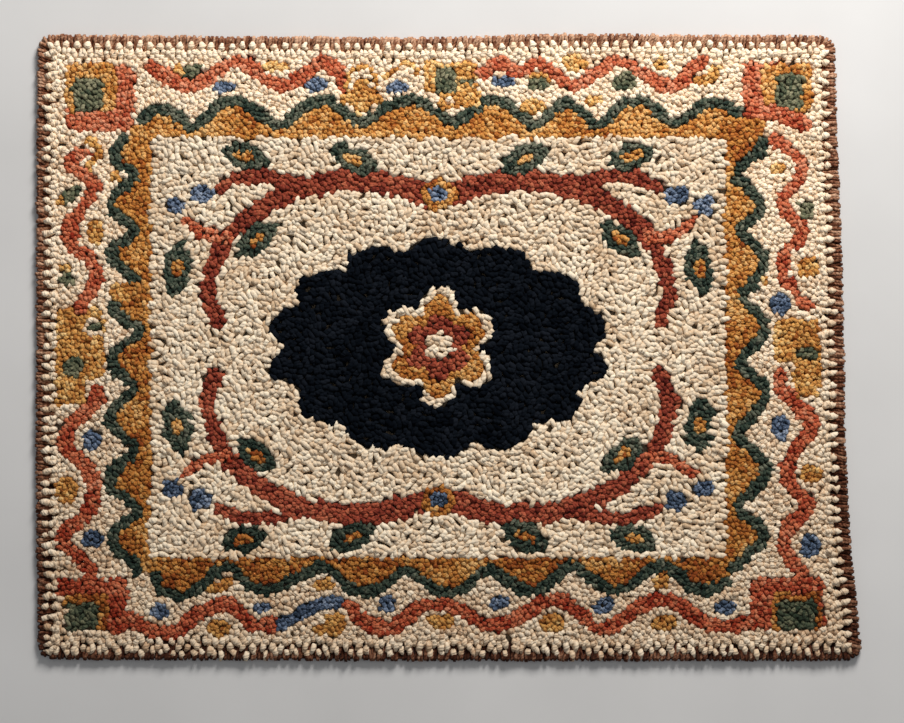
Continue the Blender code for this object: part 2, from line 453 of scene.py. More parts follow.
def ripple(x, y, span, seed, waves=9):
    """Smooth unevenness of about -1 to 1, with humps about span apart. The seed picks the pattern."""
    dice = np.random.default_rng(seed)
    total = 0.0
    for _ in range(waves):
        turn, phase = dice.uniform(0, 2 * np.pi, 2)
        length = span * dice.uniform(*WAVE_LENGTHS)
        total = total + np.sin((x * np.cos(turn) + y * np.sin(turn)) * 2 * np.pi / length + phase)
    return total / math.sqrt(waves / 2) / RIPPLE_PEAK


WOBBLE, WOBBLE_SPAN = 1.1, 22.0
DESIGN_DROP = 2.6


def cell_of(x, y):
    """Row and column of the chart cell that holds each place."""
    col = np.clip((x + HALF_CHART[0]).astype(int), 0, chart.shape[1] - 1)
    row = np.clip((y + HALF_CHART[1]).astype(int), 0, chart.shape[0] - 1)
    return row, col


near = cell_of(X + WOBBLE * ripple(X, Y, WOBBLE_SPAN, 1),
               Y + WOBBLE * ripple(X, Y, WOBBLE_SPAN, 2) + DESIGN_DROP)
chart = np.where(on_cloth & (chart[near] != OUTSIDE), chart[near], chart)
print("wobble of up to", WOBBLE, "mm in the outlines")

# %% [markdown]
# ## How far to the nearest outline
# Rows of loops follow outlines, so each cell needs its distance to the nearest change of yarn.
# Looking down the columns first and then along the rows finds it in two quick passes. The slope
# of that distance points straight away from the outline.

# %% Distances and slopes
FAR = 60


def distance_to(marked):
    """Distance from each cell to the nearest marked one, exact up to FAR millimetres."""
    down = np.full(marked.shape, float(FAR))
    down[marked] = 0
    for row in range(1, len(down)):
        down[row] = np.minimum(down[row], down[row - 1] + 1)
    for row in range(len(down) - 2, -1, -1):
        down[row] = np.minimum(down[row], down[row + 1] + 1)
    best = down ** 2
    for shift in range(1, FAR):
        best[:, shift:] = np.minimum(best[:, shift:], down[:, :-shift] ** 2 + shift ** 2)
        best[:, :-shift] = np.minimum(best[:, :-shift], down[:, shift:] ** 2 + shift ** 2)
    return np.sqrt(best)


def softened(values, times=3):
    """Values averaged with those of the four neighbouring cells, a few times over."""
    for _ in range(times):
        values = (values + np.roll(values, 1, 0) + np.roll(values, -1, 0)
                  + np.roll(values, 1, 1) + np.roll(values, -1, 1)) / 5
    return values


design = np.where(chart == YARNS.index("bar cream"), YARNS.index("field cream"), chart)
change = np.zeros(chart.shape, bool)
change[:, 1:] |= design[:, 1:] != design[:, :-1]
change[1:] |= design[1:] != design[:-1]
depth = distance_to(change)
slope_y, slope_x = np.gradient(softened(depth))
rim_depth = distance_to(~on_cloth)
rim_slope_y, rim_slope_x = np.gradient(softened(rim_depth))
print("outline cells:", int(change.sum()), "deepest cell:", round(depth.max(), 1), "mm from an outline")

# %% [markdown]
# ## Which way the loops lie
# A loop is longer than it is wide, and its long way runs along the maker's row. Next to an
# outline the row runs beside it. Out in the open field the rows meander, which gives the pile
# its rice-grain look. The green and rust yarns are hooked aslant in their narrow bands, and the
# outermost cream loops point straight out. Directions that differ by half a turn are the same,
# so we add them up as doubled angles.

# %% Loop sizes and directions for each yarn

# Yarn: length, width, slant across its row in degrees, scatter in degrees, share that follows outlines
LOOP_SIZES = {
    "border cream": (7.6, 4.6, 0, 22, 0.9),
    "field cream": (11.2, 4.5, 0, 36, 0.45),
    "bar cream": (10.6, 4.8, 90, 14, 1.0),
    "black": (10.6, 4.8, 0, 20, 0.6),
    "gold": (6.8, 4.1, 10, 30, 0.5),
    "yellow": (6.8, 3.9, 10, 28, 0.6),
    "green": (8.2, 3.5, 45, 15, 1.0),
    "slate": (8.2, 3.3, 45, 15, 1.0),
    "rust": (6.9, 3.8, 60, 24, 1.0),
    "blue": (6.8, 3.3, 20, 16, 0.8),
    "brick": (7.4, 4.3, 55, 24, 0.9),
}
sizes = np.array([LOOP_SIZES[yarn] for yarn in YARNS], float)
MEANDER_SPAN = 36.0
OUTLINE_REACH = 7.0
RIM_ROWS = 17.0
# How strongly outlines, the rim and the ladder turn the loops, where the meander has a pull of 1
OUTLINE_PULL, RIM_PULL, BAR_PULL = 2.2, 4.0, 6.0


def doubled(angle, weight):
    """Arrows at twice the angle, as long as their weight."""
    return np.stack((np.cos(2 * angle), np.sin(2 * angle))) * weight


meander = np.stack((ripple(X, Y, MEANDER_SPAN, 3), ripple(X, Y, MEANDER_SPAN, 4)))
meander /= np.linalg.norm(meander, axis=0) + 1e-6
beside = np.arctan2(slope_y, slope_x) + np.pi / 2 + np.radians(sizes[chart, 2])
follows = sizes[chart, 4] * np.exp(-((depth / OUTLINE_REACH) ** 2)) * OUTLINE_PULL
lay = doubled(beside, follows) + meander
outward = np.arctan2(rim_slope_y, rim_slope_x)
lay = np.where(rim_depth < RIM_ROWS, doubled(outward, RIM_PULL) + meander, lay)
lay = np.where(chart == YARNS.index("bar cream"), doubled(0.0 * X, BAR_PULL) + meander, lay)
heading = 0.5 * np.arctan2(lay[1], lay[0])
print("directions set for", heading.size, "cells")

# %% [markdown]
# ## Setting the loops
# We drop one loop per cell of a loose honeycomb, sized for its yarn, and then let them settle.
# Each loop pushes its neighbours away, less along its own length than across it, and every
# outline is a wall it may not cross. After a few dozen rounds the pile is evenly packed, and
# rows have formed along the outlines by themselves.

# %% Seeds on a honeycomb
CROWDING = 0.93
SHAKE = 0.3
TEETH_DEPTH = 8.0


def honeycomb(yarn_number, dice):
    """Slightly shaken honeycomb places on one yarn's cells."""
    length, width = sizes[yarn_number, :2]
    spacing = math.sqrt(CROWDING * length * width * 2 / math.sqrt(3))
    row_gap = spacing * math.sqrt(3) / 2
    rows = np.arange(-HALF_CHART[1], HALF_CHART[1], row_gap)
    cols = np.arange(-HALF_CHART[0], HALF_CHART[0], spacing)
    x, y = np.meshgrid(cols, rows)
    x = x + (np.arange(len(rows)) % 2)[:, None] * spacing / 2
    x, y = (value.ravel() + dice.uniform(-SHAKE, SHAKE, value.size) * spacing for value in (x, y))
    at = cell_of(x, y)
    keep = (chart[at] == yarn_number) & (rim_depth[at] > TEETH_DEPTH)
    return np.stack((x[keep], y[keep]), axis=1)


dice = np.random.default_rng(11)
seeds = [honeycomb(number, dice) for number in range(len(YARNS))]
loop_place = np.vstack(seeds)
loop_yarn = np.repeat(np.arange(len(YARNS)), [len(s) for s in seeds])
print("loops:", len(loop_place), dict(zip(YARNS, [len(s) for s in seeds])))

# %% [markdown]
# Comparing every loop with every other would take seventeen thousand squared tests. Instead the
# loops are sorted into squares as wide as the push reaches, and each is compared with those in
# its own square and the squares around it.

# %% Pairs of neighbours
REACH = 12.0


def neighbour_pairs(places, reach):
    """Numbers of all pairs of loops that may be within reach of each other."""
    square = np.floor(places / reach).astype(np.int64)
    square -= square.min(0) - 1
    width = square[:, 0].max() + 2
    key = square[:, 1] * width + square[:, 0]
    order = np.argsort(key, kind="stable")
    key = key[order]
    own = np.arange(len(order))
    firsts, seconds = [], []
    for step in (0, 1, width - 1, width, width + 1):
        start = np.searchsorted(key, key + step, "left")
        stop = np.searchsorted(key, key + step, "right")
        if step == 0:
            start = own + 1
        for extra in range(int((stop - start).max())):
            found = start + extra < stop
            firsts.append(order[own[found]])
            seconds.append(order[(start + extra)[found]])
    first, second = np.concatenate(firsts), np.concatenate(seconds)
    close = np.linalg.norm(places[first] - places[second], axis=1) < reach
    return first[close], second[close]


print("neighbouring pairs:", len(neighbour_pairs(loop_place, REACH)[0]))

# %% Let the pile settle
ROUNDS = 90
REFRESH = 5
WALL_SHARE = 0.42
MOST_MOVE = 1.2
CLOSEST = 0.25
OVERLAPPING = 0.75
# Least and greatest length and width of a loop, as shares of its yarn's usual size
LEAST_SIZE, MOST_SIZE = (0.78, 0.86), (1.22, 1.14)

loop_size = sizes[loop_yarn, :2] * dice.uniform(LEAST_SIZE, MOST_SIZE, (len(loop_yarn), 2))
loop_scatter = np.radians(sizes[loop_yarn, 3]) * dice.standard_normal(len(loop_yarn))


def nearness(gap, who, turn):
    """Distance in loop lengths along the loop and loop widths across it: 1 where two just touch."""
    cos, sin = np.cos(turn[who]), np.sin(turn[who])
    along = (gap[:, 0] * cos + gap[:, 1] * sin) / loop_size[who, 0]
    across = (gap[:, 1] * cos - gap[:, 0] * sin) / loop_size[who, 1]
    return np.hypot(along, across)


def settle(places):
    """Moves crowded loops apart, round by round. Gives their places and the way each one lies."""
    places = places.copy()
    allowed = places.copy()
    for turn_number in range(ROUNDS):
        if turn_number % REFRESH == 0:
            first, second = neighbour_pairs(places, REACH)
            turn = heading[cell_of(*places.T)] + loop_scatter
        gap = places[second] - places[first]
        near = (nearness(gap, first, turn) + nearness(gap, second, turn)) / 2
        push = gap * (np.clip(1 - near, 0, 1) / np.maximum(near, CLOSEST) / 2)[:, None]
        move = np.stack([np.bincount(second, push[:, axis], len(places))
                         - np.bincount(first, push[:, axis], len(places)) for axis in (0, 1)], axis=1)
        at = cell_of(*places.T)
        short = np.clip(WALL_SHARE * loop_size[:, 1] - depth[at], 0, 1)
        move += np.stack((slope_x[at], slope_y[at]), axis=1) * short[:, None]
        length = np.linalg.norm(move, axis=1)
        places += move * (np.minimum(length, MOST_MOVE) / (length + 1e-9))[:, None]
        at = cell_of(*places.T)
        strayed = (chart[at] != loop_yarn) | (rim_depth[at] < TEETH_DEPTH)
        places[strayed] = allowed[strayed]
        allowed = places.copy()
    return places, heading[cell_of(*places.T)] + loop_scatter


loop_place, loop_turn = settle(loop_place)
first, second = neighbour_pairs(loop_place, REACH)
gap = loop_place[second] - loop_place[first]
near = (nearness(gap, first, loop_turn) + nearness(gap, second, loop_turn)) / 2
print("settled; pairs still overlapping by over a quarter:", int((near < OVERLAPPING).sum()))

# %% [markdown]
# ## Yarn as geometry
# Every stitch on this rug is a short bent piece of yarn. So one function makes them all. It
# takes the points that each piece passes through, with the way its top faces and the way its
# side faces at each point, and puts a ring of corners round each. It works on whole arrays at
# once, which is thousands of times faster than adding stitches one by one.

# %% Bent pieces of yarn from arrays


def ring_angles(sides):
    """Corner bearings round a ring. The first is underneath, where the seam can't be seen."""
    return -np.pi / 2 + np.arange(sides) * 2 * np.pi / sides


def spin(path, top, side, thick, wide, sides):
    """Corners (pieces, rings, sides, 3) of bent pieces of yarn, thick up and down and wide across."""
    angle = ring_angles(sides)
    up = np.sin(angle)[None, None, :, None] * (top * thick[..., None] / 2)[:, :, None, :]
    across = np.cos(angle)[None, None, :, None] * (side * wide[..., None] / 2)[:, :, None, :]
    return path[:, :, None, :] + up + across


def yarn_faces(pieces, rings, sides):
    """Faces of all the pieces: a band of four-sided faces between rings, and a cap at each end."""
    ring, corner = np.meshgrid(np.arange(rings - 1), np.arange(sides), indexing="ij")
    after = (corner + 1) % sides
    band = np.stack((ring * sides + corner, (ring + 1) * sides + corner,
                     (ring + 1) * sides + after, ring * sides + after), axis=-1).reshape(-1, 4)
    caps = np.stack((np.arange(sides), (rings - 1) * sides + np.arange(sides)[::-1]))
    start = (np.arange(pieces) * rings * sides)[:, None, None]
    return (start + band).reshape(-1, 4), (start + caps).reshape(-1, sides)


print("faces of one stitch with 6 rings of 6:", [f.shape for f in yarn_faces(1, 6, 6)])

# %% [markdown]
# A flat map lets the finished surface be painted onto a picture. Each stitch gets a tile of its
# own on that map, with its bands on the left of the tile and its two caps on the right, so that
# no two stitches share paint.

# %% One map tile for each stitch
BAND_SHARE, CAP_RADIUS, TILE_MARGIN = 0.84, 0.4, 0.03


def tile_map(pieces, rings, sides):
    """Map places for the corners of yarn_faces: first those of the bands, then those of the caps."""
    per_row = math.ceil(math.sqrt(pieces))
    tile = np.stack((np.arange(pieces) % per_row, np.arange(pieces) // per_row), axis=1)
    ring, corner = np.meshgrid(np.arange(rings - 1), np.arange(sides), indexing="ij")
    along = np.stack((ring, ring + 1, ring + 1, ring), axis=-1).reshape(-1, 4) / (rings - 1)
    around = np.stack((corner, corner, corner + 1, corner + 1), axis=-1).reshape(-1, 4) / sides
    band = np.stack((along * BAND_SHARE, around), axis=-1)
    angle = ring_angles(sides)
    disc = np.stack((np.cos(angle), np.sin(angle)), axis=-1) * (1 - BAND_SHARE) * CAP_RADIUS
    middle = 1 - (1 - BAND_SHARE) / 2
    caps = np.stack((disc + (middle, 0.25), disc + (middle, 0.75)))
    inset = [part * (1 - 2 * TILE_MARGIN) + TILE_MARGIN for part in (band, caps)]
    return [((tile[:, None, None, :] + part[None]) / per_row).reshape(-1, 2) for part in inset]


print("tiles for 9 stitches fill", tile_map(9, 5, 5)[0].max(0).round(2))

# %% [markdown]
# The stitches carry two facts for their material: a tint, which differs from loop to loop as
# hand-dyed wool does, and the way along and round the yarn, where its twist and fibres run.

# %% Turn arrays into a mesh object
# Each stitch reads the fibre pattern this much further on than the one before
FIBRE_STEP = 0.37


def mesh_object(name, places, faces, maps, facts, material):
    """A smooth-shaded object. Places are in millimetres; facts are values stored at each point."""
    mesh = bpy.data.meshes.new(name)
    mesh.vertices.add(len(places))
    mesh.vertices.foreach_set("co", (places * MM).astype(np.float32).ravel())
    corners = np.concatenate([f.ravel() for f in faces])
    counts = np.concatenate([np.full(len(f), f.shape[1]) for f in faces])
    mesh.loops.add(len(corners))
    mesh.loops.foreach_set("vertex_index", corners.astype(np.int32))
    mesh.polygons.add(len(counts))
    mesh.polygons.foreach_set("loop_start", (np.cumsum(counts) - counts).astype(np.int32))
    mesh.update(calc_edges=True)
    mesh.shade_smooth()
    if maps is not None:
        layer = mesh.uv_layers.new(name="OFBake")
        layer.uv.foreach_set("vector", np.concatenate(maps).astype(np.float32).ravel())
    for fact, values in facts.items():
        kind, key = ("FLOAT", "value") if values.ndim == 1 else ("FLOAT_VECTOR", "vector")
        mesh.attributes.new(fact, kind, "POINT").data.foreach_set(key, values.astype(np.float32).ravel())
    mesh.materials.append(material)
    piece = bpy.data.objects.new(name, mesh)
    bpy.context.scene.collection.objects.link(piece)
    return piece


def stitches(name, corners, tint, material, stands_for):
    """One object from the corners that spin made. It rides on the rug and stands for a solid."""
    pieces, rings, sides, _ = corners.shape
    along = np.broadcast_to(np.arange(rings)[None, :, None] / (rings - 1), corners.shape[:3])
    around = np.broadcast_to(np.arange(sides)[None, None, :] / sides, corners.shape[:3])
    number = np.broadcast_to(np.arange(pieces)[:, None, None] * FIBRE_STEP, corners.shape[:3])
    run = np.stack((along, around, number), axis=-1).reshape(-1, 3)
    facts = {"tint": np.repeat(tint, rings * sides), "run": run}
    faces = yarn_faces(pieces, rings, sides)
    piece = mesh_object(name, corners.reshape(-1, 3), faces, tile_map(pieces, rings, sides), facts, material)
    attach(piece, "root")
    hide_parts(stands_for)
    triangles = len(faces[0]) * 2 + len(faces[1]) * (sides - 2)
    print(f"{name}: {pieces} stitches, {triangles} triangles")
    return piece


# %% [markdown]
# ## Wool
# Wool yarn is matt and a little hairy. Its colour is never even: each loop took the dye in its
# own way, patches of the rug have faded or yellowed, and fibres of several shades are spun
# together. Down between the loops the light goes from wool to wool and comes back more deeply
# coloured. The material builds up these layers: a colour ramp read by the tint, broad patches,
# fine fibres, painted light that makes the far side lighter and the near side darker, and
# painted shade that makes the colour darker and deeper low in the pile. The twist of the yarn
# is a slanted stripe in the bump, with fine fibres over it.

# %% Node helpers


def add_node(tree, kind, inputs, **settings):
    """A new node with its settings, and each input set to a value or joined to an output."""
    node = tree.nodes.new(kind)
    for setting, value in settings.items():
        setattr(node, setting, value)
    for socket, value in inputs.items():
        if isinstance(value, bpy.types.NodeSocket):
            tree.links.new(value, node.inputs[socket])
        else:
            node.inputs[socket].default_value = value
    return node


def math_node(tree, operation, *values):
    return add_node(tree, "ShaderNodeMath", dict(enumerate(values)), operation=operation).outputs[0]


def mapped(tree, value, low, high, to_low, to_high):
    limits = {"Value": value, "From Min": low, "From Max": high, "To Min": to_low, "To Max": to_high}
    return add_node(tree, "ShaderNodeMapRange", limits).outputs[0]


def noise(tree, vector, scale, detail=2.0, roughness=0.5):
    inputs = {"Vector": vector, "Scale": scale, "Detail": detail, "Roughness": roughness}
    return add_node(tree, "ShaderNodeTexNoise", inputs).outputs["Fac"]


def scaled_colour(tree, colour, factor):
    return add_node(tree, "ShaderNodeVectorMath", {0: colour, "Scale": factor}, operation="SCALE").outputs[0]


def ramp(tree, value, shades):
    """A colour ramp with its shades spread evenly."""
    node = add_node(tree, "ShaderNodeValToRGB", {"Fac": value})
    stops = node.color_ramp.elements
    while len(stops) < len(shades):
        stops.new(0.5)
    for number, shade in enumerate(shades):
        stops[number].position = number / (len(shades) - 1)
        stops[number].color = (*shade, 1.0)
    return node.outputs["Color"]


NOISE_RANGE = (0.3, 0.7)


def swing(tree, grain, amount):
    """Noise as a change of up to the amount either way."""
    return mapped(tree, grain, *NOISE_RANGE, -amount, amount)


print("node helpers ready, for noise from", NOISE_RANGE)

# %% Wool yarn material
PATCH_SCALE = 16.0
HEATHER_SCALE = 330.0
FIBRE_STRETCH = (3.0, 9.0, 1.0)
FIBRE_SWING = 0.12
TWISTS = 3.0
TWIST_BUMP, TWIST_DEPTH = 0.75, 0.6 * MM
PILE_FLOOR, PILE_LIT = 2.5 * MM, 8.5 * MM
# Painted shade low in the pile: brightness and gamma of the colour at the foot of the pile, where both are 1
# at its top; together they make the colour darker and deeper down between the loops
FOOT_SHADE_BRIGHTNESS, FOOT_SHADE_GAMMA = 1.1, 1.35
SUN_REACH = 0.33
WOOL_ROUGHNESS = 0.95
SHEEN_SHARE, SHEEN_ROUGHNESS = 0.4, 0.5


def wool(name, shades, light_falloff=0.0, patches=0.16, mottle=0.14, gloss=0.1):
    """Wool in several shades. The far side is painted lighter and the near side darker, as light falls from
    beyond the far edge.
    """
    material = bpy.data.materials.new(name)
    material.use_nodes = True
    tree = material.node_tree
    shader = tree.nodes["Principled BSDF"]
    place = add_node(tree, "ShaderNodeTexCoord", {}).outputs["Object"]
    _, across, height = add_node(tree, "ShaderNodeSeparateXYZ", {0: place}).outputs
    tint = add_node(tree, "ShaderNodeAttribute", {}, attribute_name="tint").outputs["Fac"]
    run = add_node(tree, "ShaderNodeAttribute", {}, attribute_name="run").outputs["Vector"]

    broad = swing(tree, noise(tree, place, PATCH_SCALE), patches)
    heather = swing(tree, noise(tree, place, HEATHER_SCALE, detail=1.0), mottle)
    stretch = {0: run, 1: FIBRE_STRETCH}
    streaks = add_node(tree, "ShaderNodeVectorMath", stretch, operation="MULTIPLY").outputs[0]
    fibre = noise(tree, streaks, 2.0, roughness=0.6)
    shade = math_node(tree, "ADD", tint, swing(tree, fibre, FIBRE_SWING))
    # Painted light: the far side takes lighter shades from the ramp and the near side darker ones
    painted_light_shift = mapped(tree, across, -SUN_REACH, SUN_REACH, -light_falloff, light_falloff)
    for change in (broad, heather, painted_light_shift):
        shade = math_node(tree, "ADD", shade, change)
    colour = ramp(tree, shade, shades)
    # Painted light: the far side is made brighter and the near side dimmer
    painted_light_scale = mapped(tree, across, -SUN_REACH, SUN_REACH, 1 - light_falloff, 1 + light_falloff)
    # Painted shade: low in the pile the colour is made darker and deeper, standing in for shade and light
    # bounced between the loops
    foot_shade_brightness = mapped(tree, height, PILE_FLOOR, PILE_LIT, FOOT_SHADE_BRIGHTNESS, 1.0)
    colour = scaled_colour(tree, scaled_colour(tree, colour, painted_light_scale), foot_shade_brightness)
    foot_shade_gamma = mapped(tree, height, PILE_FLOOR, PILE_LIT, FOOT_SHADE_GAMMA, 1.0)
    colour = add_node(tree, "ShaderNodeGamma", {"Color": colour, "Gamma": foot_shade_gamma}).outputs[0]
    tree.links.new(colour, shader.inputs["Base Color"])

    lengthwise, around, _ = add_node(tree, "ShaderNodeSeparateXYZ", {0: run}).outputs
    slant = math_node(tree, "ADD", math_node(tree, "MULTIPLY", lengthwise, TWISTS), around)
    turn = math_node(tree, "MULTIPLY", slant, 2 * math.pi)
    ply = math_node(tree, "ABSOLUTE", math_node(tree, "SINE", turn))
    strands = math_node(tree, "ADD", ply, fibre)
    relief = {"Height": strands, "Strength": TWIST_BUMP, "Distance": TWIST_DEPTH}
    tree.links.new(add_node(tree, "ShaderNodeBump", relief).outputs[0], shader.inputs["Normal"])
    shader.inputs["Roughness"].default_value = WOOL_ROUGHNESS
    shader.inputs["Specular IOR Level"].default_value = gloss
    shader.inputs["Sheen Weight"].default_value = gloss * SHEEN_SHARE
    shader.inputs["Sheen Roughness"].default_value = SHEEN_ROUGHNESS
    return material


# Yarn: its shades from darkest to lightest, as light that the wool gives back
SHADES = {
    "border cream": ((0.54, 0.35, 0.21), (0.70, 0.52, 0.35), (0.79, 0.63, 0.455), (0.86, 0.72, 0.545)),
    "field cream": ((0.56, 0.39, 0.24), (0.68, 0.515, 0.35), (0.76, 0.62, 0.455), (0.83, 0.71, 0.54)),
    "black": ((0.0011, 0.0018, 0.0034), (0.0033, 0.0048, 0.0076), (0.0078, 0.0098, 0.0142)),
    "gold": ((0.23, 0.052, 0.010), (0.38, 0.132, 0.026), (0.51, 0.230, 0.054), (0.64, 0.37, 0.14)),
    "yellow": ((0.27, 0.080, 0.016), (0.45, 0.190, 0.044), (0.60, 0.315, 0.090), (0.74, 0.49, 0.21)),
    "green": ((0.021, 0.032, 0.018), (0.054, 0.068, 0.041), (0.108, 0.110, 0.062), (0.22, 0.205, 0.125)),
    "slate": ((0.009, 0.018, 0.013), (0.027, 0.042, 0.030), (0.060, 0.074, 0.050), (0.145, 0.146, 0.103)),
    "rust": ((0.20, 0.015, 0.005), (0.38, 0.070, 0.030), (0.51, 0.143, 0.063), (0.60, 0.240, 0.135)),
    "blue": ((0.025, 0.04, 0.065), (0.060, 0.086, 0.135), (0.125, 0.165, 0.24), (0.27, 0.31, 0.38)),
    "brick": ((0.09, 0.010, 0.006), (0.20, 0.033, 0.018), (0.31, 0.065, 0.032), (0.42, 0.12, 0.06)),
    "brown": ((0.055, 0.016, 0.007), (0.17, 0.064, 0.033), (0.30, 0.148, 0.085), (0.46, 0.275, 0.175)),
}

# Yarns that differ from plain wool: painted lighter on the far side and darker on the near side, patchy,
# mottled, or less glossy
HABITS = {
    "border cream": {"light_falloff": 0.13, "mottle": 0.20},
    "field cream": {"mottle": 0.20, "patches": 0.24},
    "black": {"gloss": 0.02},
    "gold": {"light_falloff": 0.15, "patches": 0.34},
    "yellow": {"light_falloff": 0.13, "patches": 0.26},
    "green": {"light_falloff": 0.14, "mottle": 0.22},
    "slate": {"light_falloff": 0.12, "mottle": 0.26},
    "rust": {"light_falloff": 0.12},
    "blue": {"light_falloff": 0.12, "mottle": 0.25},
    "brown": {"light_falloff": 0.22, "mottle": 0.3},
}
wools = {}
for yarn, shades in SHADES.items():
    wools[yarn] = wool(yarn.replace(" ", "_") + "_wool", shades, **HABITS.get(yarn, {}))
wools["bar cream"] = wools["field cream"]
print("wools:", ", ".join(wools))

# %% [markdown]
# ## The loops
# A hooked loop is an arch: it comes up out of the cloth, bends over, and goes down again close
# by. From above only its plump back shows. The table gives the arch as rings of corners: how far
# along and how high each lies, the way its outer face points, and how plump it is there. Loops
# in the open field are larger, and get one ring more. Small leans and bends make each its own.

# %% Arches of yarn
FOOT_HEIGHT, PILE_TOP = 1.0, 10.2

# Share of the half length, share of the height, bearing of the outer face, plumpness
LARGE_ARCH = ((-0.72, 0.12, 180, 0.92), (-1.00, 0.62, 145, 0.98), (-0.50, 0.98, 100, 1.08),
              (0.50, 0.98, 80, 1.08), (1.00, 0.62, 35, 0.98), (0.72, 0.12, 0, 0.92))
SMALL_ARCH = ((-0.74, 0.12, 180, 0.92), (-1.00, 0.66, 140, 1.00), (0.00, 1.00, 90, 1.12),
              (1.00, 0.66, 40, 1.00), (0.74, 0.12, 0, 0.92))
ROUNDNESS = 0.76
END_ROUND, CROWN_ROUND = 0.85, 1.05
# How unlike each other loops are: their leans along and aside, bend, tip, height and surface
LEANS = (0.7, 0.7, 0.9, 0.14)
UNEVEN_HEIGHT = 0.55
KNOBBLY = 0.3


def arches(place, turn, size, arch, sides, foot=FOOT_HEIGHT, top=PILE_TOP):
    """Corners of yarn arches at places on the rug, turned and sized one by one."""
    along, high, face, plump = (np.array(column)[None, :] for column in zip(*arch))
    face = np.radians(face)
    count = len(place)
    length, width = size[:, :1], size[:, 1:]
    thick = width * ROUNDNESS
    half = length / 2 - thick / 2 * END_ROUND
    lean_along, lean_aside, bend, tip = (dice.normal(0, spread, (count, 1)) for spread in LEANS)
    crown = np.broadcast_to(top, (count,))[:, None] - thick / 2 * CROWN_ROUND
    crown = crown + dice.normal(0, UNEVEN_HEIGHT, (count, 1))
    t = half * along + lean_along * high
    s = lean_aside * high + bend * (along ** 2 - 0.5)
    z = foot + (crown - foot) * high * (1 + tip * along)
    cos, sin = np.cos(turn)[:, None], np.sin(turn)[:, None]
    path = np.stack((place[:, :1] + t * cos - s * sin, place[:, 1:] + t * sin + s * cos, z), axis=-1)
    flat = np.cos(face)
    up = np.sin(face)
    outer = np.stack((flat * cos, flat * sin, up * np.ones_like(cos)), axis=-1)
    every = np.ones_like(flat)
    aside = np.stack((sin * every, -cos * every, np.zeros((count, len(arch)))), axis=-1)
    corners = spin(path, outer, aside, thick * plump, width * plump, sides)
    return corners + dice.normal(0, KNOBBLY, corners.shape)


print("large arch rings:", len(LARGE_ARCH), "small arch rings:", len(SMALL_ARCH))

# %% Hook the pile
MOST_IN_ONE = 3400
TINT_SPAN, HEIGHT_SPAN = 28.0, 60.0
TINT_DRIFT, HEIGHT_DRIFT = 0.10, 0.35
LARGE_LOOPS = ("field cream", "bar cream", "black")

LOOP_SIDES = 5
PLUMP = np.array((1.34, 1.40))


def tints(middle, spread, count, drift=0.0):
    """A tint for each stitch, scattered about the middle one, with a drift from place to place."""
    return np.clip(middle + spread * dice.standard_normal(count) + drift, 0, 1)


tint_drift = TINT_DRIFT * ripple(*loop_place.T, TINT_SPAN, 6)
loop_tint = tints(middle=0.55, spread=0.20, count=len(loop_place), drift=tint_drift)
pile_top = PILE_TOP + HEIGHT_DRIFT * ripple(*loop_place.T, HEIGHT_SPAN, 7)
for number, yarn in enumerate(YARNS):
    mine = np.flatnonzero(loop_yarn == number)
    mine = mine[np.argsort(loop_place[mine, 1], kind="stable")]
    arch = LARGE_ARCH if yarn in LARGE_LOOPS else SMALL_ARCH
    batches = np.array_split(mine, max(1, math.ceil(len(mine) / MOST_IN_ONE)))
    for part, batch in enumerate(batches, start=1):
        corners = arches(loop_place[batch], loop_turn[batch], loop_size[batch] * PLUMP, arch,
                         LOOP_SIDES, top=pile_top[batch])
        name = yarn.replace(" ", "_") + "_loops" + (f"_{part}" if len(batches) > 1 else "")
        stitches(name, corners, loop_tint[batch], wools[yarn], "hooked_panel")

# %% [markdown]
# ## The teeth along the edge
# Where pile and whipping meet, cream loops poke out over the brown yarn at even steps, like
# teeth. Each tooth is three loops. On the far side and the ends of the rug they form an A: one
# points out over the roll, and two lean together behind it. On the near side they form a chain
# of beads that reaches further out. Each tooth is some mixture of the two forms.

# %% Teeth
TOOTH_PITCH = 11.6
TOOTH_HAND = 5.0

# Out from the rim, aside, length, width, turn in degrees, height of the foot, height of the top
TOOTH_A = np.array(((2.6, 0.0, 11.0, 7.4, 0.0, 5.0, 11.5), (-4.4, 3.0, 10.8, 6.4, 9.0, 1.5, 11.0),
                    (-4.4, -3.0, 10.8, 6.4, -9.0, 1.5, 11.0)))
TOOTH_CHAIN = np.array(((6.4, 1.4, 12.4, 6.8, 8.0, 3.6, 10.4), (0.4, -2.4, 12.6, 6.8, -12.0, 4.4, 11.6),
                        (-6.0, 2.4, 12.6, 7.4, 12.0, 1.5, 11.4)))
# The end that points out of the rug is slimmer than the end in the pile
TOOTH_ARCH = ((-0.74, 0.12, 180, 0.90), (-1.00, 0.66, 140, 1.02), (-0.10, 1.00, 92, 1.12),
              (1.00, 0.66, 40, 0.62), (0.80, 0.12, 0, 0.50))
# How much of a tooth is chain: its share half-way along the ends, what facing nearer adds, what
# lying nearer adds, and the scatter
CHAIN_SHARE, CHAIN_TURN, TOOTH_SWAY, CHAIN_SCATTER = 0.15, 0.9, 0.35, 0.22
# How far the teeth draw in at the near right corner, and the share of that at the corners beside it
TOOTH_PULL, PULL_SHARE = 3.2, 0.2
TOOTH_SHAKE, TOOTH_TWIST = 0.7, 10
TOOTH_SIZES = (0.82, 1.18)

tooth_place, tooth_along, tooth_out = along_rim(TOOTH_PITCH, TOOTH_HAND, start=0.25)
tooth_count = len(tooth_place)
tooth_turn = np.arctan2(tooth_out[:, 1], tooth_out[:, 0])
nearer = CHAIN_SHARE - CHAIN_TURN * tooth_out[:, 1] - TOOTH_SWAY * tooth_place[:, 1] / HALF_CHART[1]
chained = np.clip(nearer + dice.normal(0, CHAIN_SCATTER, tooth_count), 0, 1)[:, None]
